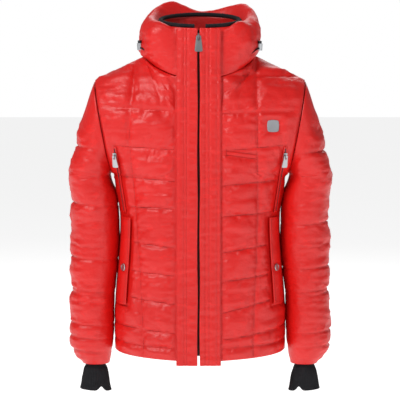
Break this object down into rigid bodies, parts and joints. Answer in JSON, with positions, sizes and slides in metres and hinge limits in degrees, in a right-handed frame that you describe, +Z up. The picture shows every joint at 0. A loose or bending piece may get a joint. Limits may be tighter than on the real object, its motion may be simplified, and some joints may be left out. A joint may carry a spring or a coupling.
{
  "type": "ski jacket",
  "caption": "Quilted ski jacket with a stowed-hood collar, covered front zip, hand pockets, snap flaps and knitted wrist gaiters, hanging from its loop.",
  "frame": {"origin": "middle of the hanger loop's inner face, at the back of the neck, which the jacket hangs from", "axes": "+Z up along the hanging jacket, -Y out of the front, +X towards the wearer's left arm"},
  "size_m": [0.5744, 0.2545, 0.8384],
  "materials": {
    "shell_fabric": "glossy red quilted nylon, calendered, with long soft wrinkles",
    "lining_fabric": "darker red satin lining",
    "wadding": "white polyester wadding",
    "black_knit": "matte black ribbed knit",
    "black_tape": "black woven tape",
    "zip_teeth": "dark grey moulded teeth",
    "black_plastic": "moulded, fine grain",
    "silver_metal": "satin silver with polished edges"
  },
  "bodies": {
    "root": {"front_left_shell": "shell_fabric", "front_left_wadding": "wadding", "front_left_lining": "lining_fabric", "placket_left": "shell_fabric", "zip_chain_left": "zip_teeth", "zip_tape_left": "black_tape", "sleeve_head_left": "shell_fabric", "sleeve_bend_left": "shell_fabric", "pocket_zip_left": "black_tape", "pocket_bag_left": "lining_fabric", "snap_stud_left": "silver_metal", "hood_cord_left": "black_tape", "front_right_shell": "shell_fabric", "front_right_wadding": "wadding", "front_right_lining": "lining_fabric", "placket_right": "shell_fabric", "zip_chain_right": "zip_teeth", "zip_tape_right": "black_tape", "sleeve_head_right": "shell_fabric", "sleeve_bend_right": "shell_fabric", "pocket_zip_right": "black_tape", "pocket_bag_right": "lining_fabric", "snap_stud_right": "silver_metal", "hood_cord_right": "black_tape", "back_shell": "shell_fabric", "back_wadding": "wadding", "back_lining": "lining_fabric", "wind_flap": "black_tape", "collar_shell": "shell_fabric", "collar_lining": "lining_fabric", "hood_roll": "shell_fabric", "collar_binding": "black_knit", "hanger_loop": "black_tape", "chest_welt": "shell_fabric", "badge": "black_tape", "zip_box": "silver_metal"},
    "main_slider": {"zip_slider": "silver_metal"},
    "main_pull": {"zip_pull": "silver_metal"},
    "pocket_slider_left": {"pocket_slider_left": "silver_metal"},
    "pocket_pull_left": {"pocket_pull_left": "silver_metal"},
    "flap_left": {"flap_left": "shell_fabric", "snap_cap_left": "silver_metal", "snap_socket_left": "silver_metal"},
    "lock_left": {"cord_lock_left": "silver_metal"},
    "plunger_left": {"lock_plunger_left": "black_plastic"},
    "sleeve_left": {"sleeve_upper_left": "shell_fabric", "sleeve_lower_left": "shell_fabric", "gaiter_left": "black_knit"},
    "pocket_slider_right": {"pocket_slider_right": "silver_metal"},
    "pocket_pull_right": {"pocket_pull_right": "silver_metal"},
    "flap_right": {"flap_right": "shell_fabric", "snap_cap_right": "silver_metal", "snap_socket_right": "silver_metal"},
    "lock_right": {"cord_lock_right": "silver_metal"},
    "plunger_right": {"lock_plunger_right": "black_plastic"},
    "sleeve_right": {"sleeve_upper_right": "shell_fabric", "sleeve_lower_right": "shell_fabric", "gaiter_right": "black_knit"}
  },
  "joints": [
    {"name": "main_zip_slide", "type": "slide", "parent": "root", "child": "main_slider", "axis": [0, -0.0549, -0.9985], "range_m": [0, 0.64]},
    {"name": "main_pull_swing", "type": "hinge", "parent": "main_slider", "child": "main_pull", "pos_m": [-0.003, -0.16293, 0.02513], "axis": [-1, 0, 0], "range_deg": [0, 165]},
    {"name": "pocket_zip_slide_left", "type": "slide", "parent": "root", "child": "pocket_slider_left", "axis": [0.1249, 0.237, -0.9634], "range_m": [0, 0.098]},
    {"name": "pocket_pull_swing_left", "type": "hinge", "parent": "pocket_slider_left", "child": "pocket_pull_left", "pos_m": [-0.18534, -0.15281, -0.23194], "axis": [-0.8992, 0.4375, -0.0089], "range_deg": [0, 160]},
    {"name": "flap_open_left", "type": "hinge", "parent": "root", "child": "flap_left", "pos_m": [-0.18752, -0.10086, -0.55519], "axis": [-0.0637, -0.0156, -0.9978], "range_deg": [0, 45]},
    {"name": "lock_slide_left", "type": "slide", "parent": "root", "child": "lock_left", "axis": [0.3168, -0.9446, -0.0865], "range_m": [-0.003, 0.003]},
    {"name": "plunger_press_left", "type": "slide", "parent": "lock_left", "child": "plunger_left", "axis": [0.0578, 0.1102, -0.9922], "range_m": [0, 0.003], "stiffness_N_per_m": 400, "springref_m": -0.002},
    {"name": "sleeve_swing_left", "type": "hinge", "parent": "root", "child": "sleeve_left", "pos_m": [-0.195, -0.06408, -0.27744], "axis": [0, 1, 0], "range_deg": [0, 38], "deforming": ["sleeve_bend_left"]},
    {"name": "pocket_zip_slide_right", "type": "slide", "parent": "root", "child": "pocket_slider_right", "axis": [-0.1249, 0.237, -0.9634], "range_m": [0, 0.098]},
    {"name": "pocket_pull_swing_right", "type": "hinge", "parent": "pocket_slider_right", "child": "pocket_pull_right", "pos_m": [0.18533, -0.15282, -0.23194], "axis": [-0.8992, -0.4375, 0.0089], "range_deg": [0, 160]},
    {"name": "flap_open_right", "type": "hinge", "parent": "root", "child": "flap_right", "pos_m": [0.18752, -0.10086, -0.55519], "axis": [-0.0637, 0.0156, 0.9978], "range_deg": [0, 45]},
    {"name": "lock_slide_right", "type": "slide", "parent": "root", "child": "lock_right", "axis": [0.3488, 0.933, 0.0889], "range_m": [-0.003, 0.003]},
    {"name": "plunger_press_right", "type": "slide", "parent": "lock_right", "child": "plunger_right", "axis": [-0.0563, 0.1155, -0.9917], "range_m": [0, 0.003], "stiffness_N_per_m": 400, "springref_m": -0.002},
    {"name": "sleeve_swing_right", "type": "hinge", "parent": "root", "child": "sleeve_right", "pos_m": [0.195, -0.06408, -0.27744], "axis": [0, -1, 0], "range_deg": [0, 38], "deforming": ["sleeve_bend_right"]}
  ]
}
